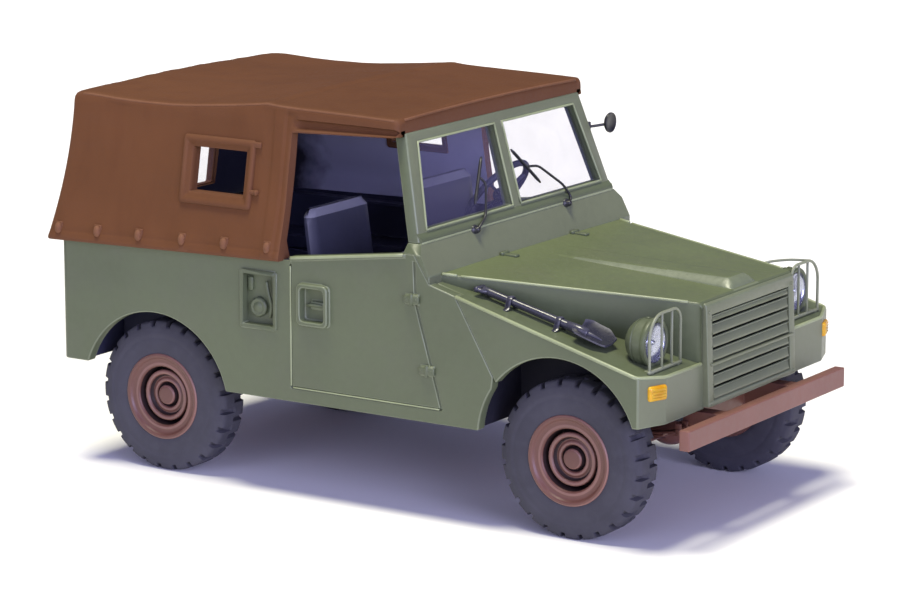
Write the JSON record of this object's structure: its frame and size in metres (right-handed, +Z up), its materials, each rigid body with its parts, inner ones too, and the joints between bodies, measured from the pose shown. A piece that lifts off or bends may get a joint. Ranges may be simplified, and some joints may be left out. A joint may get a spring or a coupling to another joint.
{
  "type": "scale model of an army 4x4 car",
  "caption": "Small-scale plastic model of an open army 4x4 car with its cloth top up, flat louvred grille, guarded lamps on the wings and free-rolling wheel sets.",
  "frame": {"origin": "middle of the bounding box at the ground, between the four tyres' contact patches and a little behind the windscreen", "axes": "+X forward along the car, +Y to the car's left, +Z up"},
  "size_m": [0.0422, 0.0232, 0.0225],
  "materials": {
    "olive_body": "satin, moulded in olive drab",
    "brown_top": "matt, cloth grain moulded in",
    "dark_cabin": "satin, very dark blue-black",
    "red_brown": "satin, red-brown",
    "tyre": "matt dark blue-grey",
    "steel_pin": "bright drawn wire",
    "clear_pane": "clear",
    "lamp_silver": "bright",
    "black_etch": "satin black",
    "olive_etch": "satin olive",
    "amber": "clear amber",
    "red_lamp": "clear red",
    "tool_dark": "satin dark"
  },
  "bodies": {
    "car": {"body_tub": "olive_body", "front_wings": "olive_body", "bonnet": "olive_body", "grille_panel": "olive_body", "scuttle": "olive_body", "windscreen_frame": "olive_body", "windscreen_panes": "clear_pane", "soft_top": "brown_top", "rear_window": "clear_pane", "cabin_floor": "dark_cabin", "wheelhouse_liners": "dark_cabin", "front_seats": "dark_cabin", "rear_benches": "dark_cabin", "dashboard": "dark_cabin", "steering_wheel": "dark_cabin", "levers": "dark_cabin", "chassis_frame": "red_brown", "leaf_springs": "red_brown", "gearbox": "red_brown", "prop_shafts": "red_brown", "exhaust": "red_brown", "front_axle_case": "red_brown", "rear_axle_case": "red_brown", "front_bumper": "red_brown", "headlamp_shells": "olive_body", "headlamp_lenses": "lamp_silver", "lamp_guards": "olive_etch", "indicators": "amber", "wipers": "black_etch", "mirror": "black_etch", "shovel": "tool_dark", "tail_lamps": "red_lamp", "coupling_hook": "red_brown"},
    "front_wheelset": {"front_rims": "red_brown", "front_tyres": "tyre", "front_axle_shaft": "steel_pin"},
    "rear_wheelset": {"rear_rims": "red_brown", "rear_tyres": "tyre", "rear_axle_shaft": "steel_pin"}
  },
  "joints": [
    {"name": "front_wheels_spin", "type": "hinge", "parent": "car", "child": "front_wheelset", "pos_m": [0.014, 0, 0.00445], "axis": [0, 1, 0], "continuous": true},
    {"name": "rear_wheels_spin", "type": "hinge", "parent": "car", "child": "rear_wheelset", "pos_m": [-0.01359, 0, 0.00445], "axis": [0, 1, 0], "continuous": true}
  ]
}
